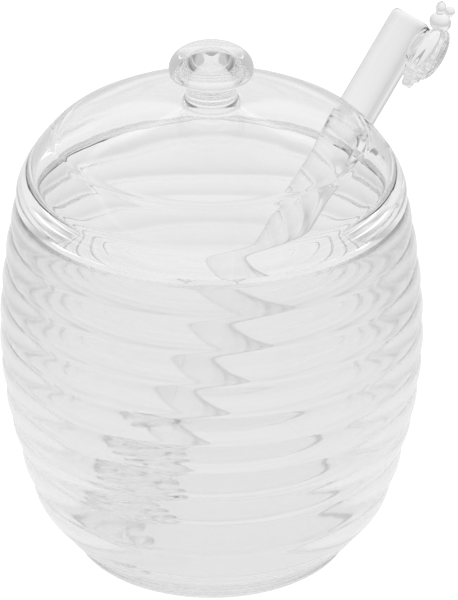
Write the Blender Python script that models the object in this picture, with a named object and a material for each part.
"""Clear honey pot shaped like a straw beehive, with a domed lid and a honey dipper.

The pot is a turned shell with bulging rings outside and a smooth wall inside. The lid rests on its rim and
carries a round knob. The dipper leans in the pot and comes out through a notch in the lid's edge, with a
moulded bee on the end of its handle. The pot's axis is Z and its base stands on the plane Z = 0.
"""

import math

import bmesh
import bpy
import numpy as np
from mathutils import Matrix, Vector

MM = 0.001
GAP = 0.3 * MM
SEGMENTS = 48
OUTLINE_TOLERANCE = 0.11 * MM
SOFT_FACE_ANGLE = math.radians(35.0)

# Pot: height of each groove and the radius that the rings' crests touch there
BARREL = np.array([
    (0.0, 29.7), (9.0, 39.2), (19.2, 44.25), (28.2, 46.3), (36.1, 48.35), (43.9, 49.35),
    (51.6, 50.1), (59.3, 50.1), (67.1, 49.7), (75.0, 48.75), (83.1, 47.6), (91.3, 45.8),
]) * MM
RING_RISE = 0.9 * MM
RING_STEPS = 20
GROOVE_SMOOTHING = 3
POT_WALL = 3.2 * MM
POT_FLOOR = 4.5 * MM
FLOOR_CORNER = 7.0 * MM
FOOT_ROUNDING = 3.6 * MM
RIM_ROUNDING = 0.5 * MM
POT_TOP = BARREL[-1, 0]
MOUTH_RADIUS = 43.0 * MM
MOUTH_DEPTH = 6.0 * MM

# Lid: steep shoulder, gentle dome, knob, and a ring inside the mouth that keeps it in place
LID_BOTTOM = POT_TOP + GAP
LID_RADIUS = 45.8 * MM
LID_WALL = 2.3 * MM
CREASE_RADIUS = 36.8 * MM
CREASE_HEIGHT = 106.8 * MM
CREASE_SMOOTHING = 3
SHOULDER_SLOPE = math.radians(48.0)
DOME_SLOPE = math.radians(31.0)
EDGE_PULL = 6.0 * MM
SHOULDER_PULL = 2.4 * MM
DOME_PULL = 12.5 * MM
TOP_PULL = (19.0 * MM, -4.0 * MM)
DOME_TOP = 116.3 * MM
STEM_RADIUS = 5.9 * MM
STEM_FILLET = 1.2 * MM
KNOB_RADIUS = 9.9 * MM
KNOB_RIM_HEIGHT = 123.5 * MM
KNOB_CROWN = 6.0 * MM
KNOB_CROWN_POWER = 2.3
KNOB_UNDER = 2.6 * MM
KNOB_UNDER_POWER = 2.6
KNOB_UNDER_START = -62.0
FLANGE_OUTER = 42.6 * MM
FLANGE_INNER = 41.3 * MM
FLANGE_BOTTOM = 89.8 * MM
OUTLINE_SPACING = 0.3 * MM

# Dipper: a straight rod that leans out of the notch, with a grooved head below and a bee above
LEAN_AZIMUTH = math.radians(37.0)
LEAN_TILT = math.radians(39.4)
ROD_RADIUS = 5.0 * MM
ROD_PASS = Vector((34.3, 25.85, 100.0)) * MM
ROD_ABOVE_PASS = 26.5 * MM
ROD_END_ROUNDING = 1.5 * MM
ROD_SEGMENTS = 20
HEAD_RADIUS = 10.5 * MM
HEAD_END_RADIUS = 8.2 * MM
HEAD_DISCS = 6
HEAD_PITCH = 4.6 * MM
HEAD_DISC_THICKNESS = 2.6 * MM
HEAD_CORE_RADIUS = 4.2 * MM

# Notch in the lid's edge: an upright slot with a round top, cut from inside the shoulder outwards
NOTCH_WIDTH = 15.0 * MM
NOTCH_TOP = 105.6 * MM
NOTCH_START = 30.0 * MM
NOTCH_REACH = 30.0 * MM
NOTCH_BELOW_RING = 5.0 * MM

# Bee: it faces up the handle with its back outwards, turned a little to the front
BEE_SIDE = Vector((0.862, -0.238, -0.448))
BEE_FRONT = Vector((0.0, -0.883, 0.469))
BEE_TURN = math.radians(30.0)
BEE_ABDOMEN_RINGS = 6
BEE_RING_DEPTH = 0.055

# Bee's shapes, in mm from the handle's end along its flank, outwards and up the handle:
# name, centre, radii, tilt in degrees about the flank and about the outward axis, rows, columns
BEE_SHAPES = (
    ("head", (0.0, 7.6, 1.6), (2.5, 2.5, 2.5), (0.0, 0.0), 8, 14),
    ("feeler_left", (-2.2, 6.6, 4.8), (1.1, 1.2, 1.8), (8.0, -25.0), 6, 10),
    ("feeler_right", (1.9, 6.8, 5.2), (1.2, 1.3, 2.0), (8.0, 55.0), 6, 10),
    ("thorax", (0.0, 8.6, -1.6), (2.2, 1.8, 2.6), (0.0, 0.0), 8, 14),
    ("abdomen", (0.0, 7.9, -8.2), (2.8, 2.8, 7.0), (0.0, 0.0), 18, 14),
    ("wing_left", (-2.6, 9.0, -6.9), (1.3, 2.0, 6.8), (-5.0, 4.0), 8, 14),
    ("wing_right", (2.6, 9.6, -5.3), (1.3, 2.0, 6.4), (-5.0, -4.0), 8, 14),
    ("web", (0.0, 5.6, -3.4), (2.6, 1.8, 4.6), (0.0, 0.0), 8, 12),
)


def clear_scene():
    for item in list(bpy.data.objects):
        bpy.data.objects.remove(item, do_unlink=True)


def clear_plastic(name, colour, roughness):
    """Transparent moulded plastic."""
    material = bpy.data.materials.new(name)
    material.use_nodes = True
    shader = material.node_tree.nodes["Principled BSDF"]
    shader.inputs["Base Color"].default_value = (*colour, 1.0)
    shader.inputs["Roughness"].default_value = roughness
    shader.inputs["Metallic"].default_value = 0.0
    shader.inputs["IOR"].default_value = 1.49
    shader.inputs["Transmission Weight"].default_value = 1.0
    return material


def arc(centre_r, centre_z, radius_r, radius_z, start, end, steps):
    """Points of an elliptic arc in the (radius, height) plane, angles in degrees from the +radius direction."""
    angle = np.radians(np.linspace(start, end, steps + 1))
    return np.column_stack([centre_r + radius_r * np.cos(angle), centre_z + radius_z * np.sin(angle)])


def softened(points, passes):
    """Rounds an outline's corners: each inner point moves half way to the middle of its neighbours, each pass."""
    points = points.copy()
    for _ in range(passes):
        points[1:-1] = 0.5 * points[1:-1] + 0.25 * (points[:-2] + points[2:])
    return points


def resampled(points, spacing):
    """Points at equal steps of arc length along an outline."""
    along = np.concatenate([[0.0], np.cumsum(np.linalg.norm(np.diff(points, axis=0), axis=1))])
    wanted = np.linspace(0.0, along[-1], int(along[-1] / spacing) + 1)
    return np.column_stack([np.interp(wanted, along, points[:, 0]), np.interp(wanted, along, points[:, 1])])


def thinned(points, tolerance):
    """The fewest points that keep an outline within the tolerance, found by halving at the farthest point."""
    if len(points) < 3:
        return points
    chord = points[-1] - points[0]
    offset = points - points[0]
    away = np.abs(chord[0] * offset[:, 1] - chord[1] * offset[:, 0]) / np.hypot(chord[0], chord[1])
    farthest = int(np.argmax(away))
    if away[farthest] <= tolerance:
        return points[[0, -1]]
    first = thinned(points[:farthest + 1], tolerance)
    return np.vstack([first[:-1], thinned(points[farthest:], tolerance)])


def turned_mesh(outline, segments):
    """A closed mesh from a (radius, height) outline that starts and ends on the axis."""
    mesh = bmesh.new()
    corners = [mesh.verts.new((radius, 0.0, height)) for radius, height in outline.tolist()]
    for first, second in zip(corners, corners[1:]):
        mesh.edges.new((first, second))
    bmesh.ops.spin(
        mesh,
        geom=mesh.verts[:] + mesh.edges[:],
        cent=(0.0, 0.0, 0.0),
        axis=(0.0, 0.0, 1.0),
        angle=math.tau,
        steps=segments,
    )
    bmesh.ops.remove_doubles(mesh, verts=mesh.verts, dist=0.01 * MM)
    bmesh.ops.recalc_face_normals(mesh, faces=mesh.faces)
    return mesh


def add_object(name, mesh, material, placement=None):
    """A smooth-shaded object from a bmesh, turned and moved by a matrix."""
    data = bpy.data.meshes.new(name)
    if placement is not None:
        bmesh.ops.transform(mesh, matrix=placement, verts=mesh.verts)
    mesh.to_mesh(data)
    mesh.free()
    data.shade_smooth()
    data.set_sharp_from_angle(angle=SOFT_FACE_ANGLE)
    data.materials.append(material)
    thing = bpy.data.objects.new(name, data)
    bpy.context.scene.collection.objects.link(thing)
    return thing


def barrel_radius(height):
    """Cubic between neighbouring grooves that meets both radii with the mean slope around each."""
    level, radius = BARREL.T
    slope = np.gradient(radius, level)
    low = np.clip(np.searchsorted(level, height, side="right") - 1, 0, len(level) - 2)
    step = level[low + 1] - level[low]
    t = (height - level[low]) / step
    ends = radius[low] * (1.0 + 2.0 * t) * (1.0 - t)**2 + radius[low + 1] * t**2 * (3.0 - 2.0 * t)
    return ends + step * (slope[low] * t * (1.0 - t)**2 - slope[low + 1] * t**2 * (1.0 - t))


def pot_outside():
    """The ringed outside, from the foot up to the rim: a parabola for each ring, with soft grooves between."""
    share = np.arange(RING_STEPS) / RING_STEPS
    low, high = BARREL[:-1, :1], BARREL[1:, :1]
    height = (low + (high - low) * share).ravel()
    dip = RING_RISE * (2.0 * np.tile(share, len(low)) - 1.0)**2
    points = softened(np.column_stack([barrel_radius(height) - dip, height]), GROOVE_SMOOTHING)
    points = points[(height > FOOT_ROUNDING) & (height < POT_TOP - RIM_ROUNDING)]
    flat = points[0, 0] - FOOT_ROUNDING
    foot = arc(flat, FOOT_ROUNDING, FOOT_ROUNDING, FOOT_ROUNDING, -90.0, -12.0, 10)
    edge = BARREL[-1, 1] - RING_RISE - RIM_ROUNDING
    rim = arc(edge, POT_TOP - RIM_ROUNDING, RIM_ROUNDING, RIM_ROUNDING, 0.0, 90.0, 2)
    widest = int(np.argmax(points[:, 0]))
    lower = thinned(np.vstack([foot, points[:widest + 1]]), OUTLINE_TOLERANCE)
    upper = thinned(points[widest:], OUTLINE_TOLERANCE)
    return np.vstack([lower[:-1], upper, rim])


def pot_inside():
    """The smooth inside, from the mouth down to the floor."""
    lip = arc(MOUTH_RADIUS + RIM_ROUNDING, POT_TOP - RIM_ROUNDING, RIM_ROUNDING, RIM_ROUNDING, 90.0, 180.0, 2)
    height = np.linspace(POT_TOP - MOUTH_DEPTH, POT_FLOOR + FLOOR_CORNER, 60)
    wall = np.column_stack([barrel_radius(height) - POT_WALL, height])
    corner = arc(wall[-1, 0] - FLOOR_CORNER, wall[-1, 1], FLOOR_CORNER, FLOOR_CORNER, -8.0, -90.0, 5)
    return np.vstack([lip, thinned(wall, OUTLINE_TOLERANCE), corner])


def make_pot(material):
    """The whole shell: base, outside, inside and floor."""
    outline = np.vstack([[[0.0, 0.0]], pot_outside(), pot_inside(), [[0.0, POT_FLOOR]]])
    return add_object("pot", turned_mesh(outline, SEGMENTS), material)


def bezier(start, first, second, end, steps=60):
    """A cubic Bezier curve from its four control points."""
    t = np.linspace(0.0, 1.0, steps + 1)[:, None]
    start, first, second, end = (np.array(point) for point in (start, first, second, end))
    return (1.0 - t)**3 * start + 3.0 * t * (1.0 - t)**2 * first + 3.0 * t**2 * (1.0 - t) * second + t**3 * end


def superarc(radius, rise, centre_z, power, start, end, steps):
    """Part of a squared ellipse, angles in degrees from the +radius direction."""
    angle = np.radians(np.linspace(start, end, steps + 1))
    across = radius * np.abs(np.cos(angle))**(2.0 / power)
    up = rise * np.sign(angle) * np.abs(np.sin(angle))**(2.0 / power)
    return np.column_stack([across, centre_z + up])


def lid_shell():
    """Shoulder and dome as two curves that leave the crease at their own slopes, the crease then rounded."""
    crease = np.array([CREASE_RADIUS, CREASE_HEIGHT])
    down = np.array([math.cos(SHOULDER_SLOPE), -math.sin(SHOULDER_SLOPE)])
    inward = np.array([-math.cos(DOME_SLOPE), math.sin(DOME_SLOPE)])
    edge = np.array([LID_RADIUS, LID_BOTTOM])
    shoulder = bezier(edge, edge + [0.0, EDGE_PULL], crease + down * SHOULDER_PULL, crease)
    top = np.array([STEM_RADIUS + STEM_FILLET, DOME_TOP])
    dome = bezier(crease, crease + inward * DOME_PULL, top + TOP_PULL, top)
    return softened(resampled(np.vstack([shoulder, dome[1:]]), OUTLINE_SPACING), CREASE_SMOOTHING)


def moved_in(points, distance):
    """The parallel curve at a distance, on the curve's left side."""
    along = np.gradient(points, axis=0)
    along /= np.linalg.norm(along, axis=1)[:, None]
    return points + distance * np.column_stack([-along[:, 1], along[:, 0]])


def lid_outside():
    """The shell's outside, a fillet to the stem, and the knob up to its top."""
    shell = lid_shell()
    corner_z = shell[-1, 1] + STEM_FILLET
    fillet = arc(STEM_RADIUS + STEM_FILLET, corner_z, STEM_FILLET, STEM_FILLET, 265.0, 180.0, 3)
    under = superarc(KNOB_RADIUS, KNOB_UNDER, KNOB_RIM_HEIGHT, KNOB_UNDER_POWER, KNOB_UNDER_START, -2.0, 24)
    crown = superarc(KNOB_RADIUS, KNOB_CROWN, KNOB_RIM_HEIGHT, KNOB_CROWN_POWER, 0.0, 90.0, 40)
    knob = thinned(np.vstack([under, crown]), OUTLINE_TOLERANCE)
    return np.vstack([thinned(shell[:-1], OUTLINE_TOLERANCE), fillet, knob])


def lid_inside():
    """From the axis out under the dome at an even depth, then down the ring's upright inner wall to its foot."""
    inner = moved_in(lid_shell(), LID_WALL)[::-1]
    inner = inner[inner[:, 0] < FLANGE_INNER]
    centre = np.array([[0.0, inner[0, 1]]])
    foot = np.array([[FLANGE_INNER, inner[-1, 1] - 0.5 * MM], [FLANGE_INNER, FLANGE_BOTTOM]])
    return np.vstack([centre, thinned(inner, OUTLINE_TOLERANCE), foot])


def make_lid(material):
    """Dome with its knob and locating ring, less the notch."""
    ring = np.array([
        (FLANGE_OUTER - RIM_ROUNDING, FLANGE_BOTTOM),
        (FLANGE_OUTER, FLANGE_BOTTOM + RIM_ROUNDING),
        (FLANGE_OUTER, LID_BOTTOM),
    ])
    outline = np.vstack([lid_inside(), ring, lid_outside()])
    outline[-1, 0] = 0.0
    lid = add_object("lid", turned_mesh(outline, SEGMENTS), material)
    cut = lid.modifiers.new("notch", "BOOLEAN")
    cut.object = make_notch_cutter()
    cut.operation = "DIFFERENCE"
    return lid


def make_notch_cutter():
    """Upright slot with a round top that runs outwards through the lid's edge at the dipper's azimuth."""
    half = 0.5 * NOTCH_WIDTH
    bottom = FLANGE_BOTTOM - NOTCH_BELOW_RING
    top = arc(0.0, NOTCH_TOP - half, half, half, 0.0, 180.0, 10)
    outline = np.vstack([[[-half, bottom], [half, bottom]], top])
    mesh = bmesh.new()
    near = [mesh.verts.new((NOTCH_START, across, height)) for across, height in outline.tolist()]
    face = mesh.faces.new(near)
    far = bmesh.ops.extrude_face_region(mesh, geom=[face])["geom"]
    moved = [item for item in far if isinstance(item, bmesh.types.BMVert)]
    bmesh.ops.translate(mesh, verts=moved, vec=(NOTCH_REACH, 0.0, 0.0))
    bmesh.ops.recalc_face_normals(mesh, faces=mesh.faces)
    bmesh.ops.rotate(mesh, verts=mesh.verts, matrix=Matrix.Rotation(LEAN_AZIMUTH, 3, "Z"))
    data = bpy.data.meshes.new("notch_cutter")
    mesh.to_mesh(data)
    mesh.free()
    cutter = bpy.data.objects.new("notch_cutter", data)
    bpy.context.scene.collection.objects.link(cutter)
    cutter.hide_render = True
    cutter.display_type = "WIRE"
    return cutter


def lean_direction():
    across = math.sin(LEAN_TILT)
    return Vector((across * math.cos(LEAN_AZIMUTH), across * math.sin(LEAN_AZIMUTH), math.cos(LEAN_TILT)))


def rod_length():
    """Length that brings the head's lowest corner just above the pot's floor."""
    end = ROD_PASS + lean_direction() * ROD_ABOVE_PASS
    lowest = POT_FLOOR + GAP + HEAD_END_RADIUS * math.sin(LEAN_TILT)
    return (end.z - lowest) / math.cos(LEAN_TILT)


def dipper_outline(length):
    """Outline of the turned dipper, from the lower end of its head to the rounded end of the handle."""
    rows = [(0.0, 0.0)]
    for disc in range(HEAD_DISCS):
        share = abs(2.0 * disc / (HEAD_DISCS - 1) - 1.0)
        radius = HEAD_RADIUS - (HEAD_RADIUS - HEAD_END_RADIUS) * share**2
        low = disc * HEAD_PITCH
        high = low + HEAD_DISC_THICKNESS
        soft = 0.3 * HEAD_DISC_THICKNESS
        if disc:
            rows.append((HEAD_CORE_RADIUS, low))
        rows += [(radius - soft, low), (radius, low + soft), (radius, high - soft), (radius - soft, high)]
        rows.append((HEAD_CORE_RADIUS, high))
    neck = (HEAD_DISCS - 1) * HEAD_PITCH + HEAD_DISC_THICKNESS
    rows.append((ROD_RADIUS, neck + 3.0 * MM))
    turn = ROD_END_ROUNDING
    end = arc(ROD_RADIUS - turn, length - turn, turn, turn, 0.0, 90.0, 3)
    return np.vstack([np.array(rows), end, [[0.0, length]]])


def rod_frame():
    """Matrix that sets the dipper's own axis along the lean, with its zero at the head's lower end."""
    axis = lean_direction()
    foot = ROD_PASS + axis * (ROD_ABOVE_PASS - rod_length())
    return Matrix.Translation(foot) @ axis.to_track_quat("Z", "Y").to_matrix().to_4x4()


def bee_frame():
    """Matrix from the bee's own directions, flank, outwards and up the handle, to the handle's end."""
    axis = lean_direction()
    outwards = BEE_SIDE * math.cos(BEE_TURN) + BEE_FRONT * math.sin(BEE_TURN)
    outwards = (outwards - axis * outwards.dot(axis)).normalized()
    flank = axis.cross(outwards)
    turn = Matrix((flank, outwards, axis)).transposed().to_4x4()
    return Matrix.Translation(ROD_PASS + axis * ROD_ABOVE_PASS) @ turn


def ellipsoid(radii, rows, columns, rings):
    """An ellipsoid about the origin; rings, if any, wave along its length."""
    mesh = bmesh.new()
    bmesh.ops.create_uvsphere(mesh, u_segments=columns, v_segments=rows, radius=1.0)
    for corner in mesh.verts:
        wave = BEE_RING_DEPTH * math.sin(math.tau * rings * 0.5 * (corner.co.z + 1.0))
        corner.co *= 1.0 + wave * (1.0 - corner.co.z**2)
    bmesh.ops.scale(mesh, verts=mesh.verts, vec=radii)
    return mesh


def bee_parts(material):
    """The bee's parts in place along the handle: head, feelers, thorax, ringed abdomen, two wings and a web."""
    frame = bee_frame()
    parts = []
    for name, centre, radii, tilt, rows, columns in BEE_SHAPES:
        rings = BEE_ABDOMEN_RINGS if name == "abdomen" else 0
        shape = ellipsoid(Vector(radii) * MM, rows, columns, rings)
        about_flank = Matrix.Rotation(math.radians(tilt[0]), 4, "X")
        about_outwards = Matrix.Rotation(math.radians(tilt[1]), 4, "Y")
        where = frame @ Matrix.Translation(Vector(centre) * MM) @ about_outwards @ about_flank
        parts.append(add_object(f"bee_{name}", shape, material, where))
    return parts


def make_dipper(material):
    """The turned dipper and its bee, joined into one solid."""
    rod = add_object("dipper", turned_mesh(dipper_outline(rod_length()), ROD_SEGMENTS), material, rod_frame())
    bee = bpy.data.collections.new("bee")
    for part in bee_parts(material):
        bpy.context.scene.collection.objects.unlink(part)
        bee.objects.link(part)
    bpy.context.scene.collection.children.link(bee)
    join = rod.modifiers.new("bee", "BOOLEAN")
    join.operation = "UNION"
    join.operand_type = "COLLECTION"
    join.collection = bee
    bpy.context.view_layer.update()
    evaluated = rod.evaluated_get(bpy.context.evaluated_depsgraph_get())
    joined = bpy.data.meshes.new_from_object(evaluated)
    rod.modifiers.clear()
    rod.data = joined
    for part in list(bee.objects):
        bpy.data.objects.remove(part, do_unlink=True)
    bpy.data.collections.remove(bee)
    return rod


def main():
    clear_scene()
    acrylic = clear_plastic("clear_acrylic", (0.93, 0.94, 0.94), 0.03)
    dipper_acrylic = clear_plastic("clear_dipper_acrylic", (0.94, 0.94, 0.94), 0.05)
    make_pot(acrylic)
    make_lid(acrylic)
    make_dipper(dipper_acrylic)


main()
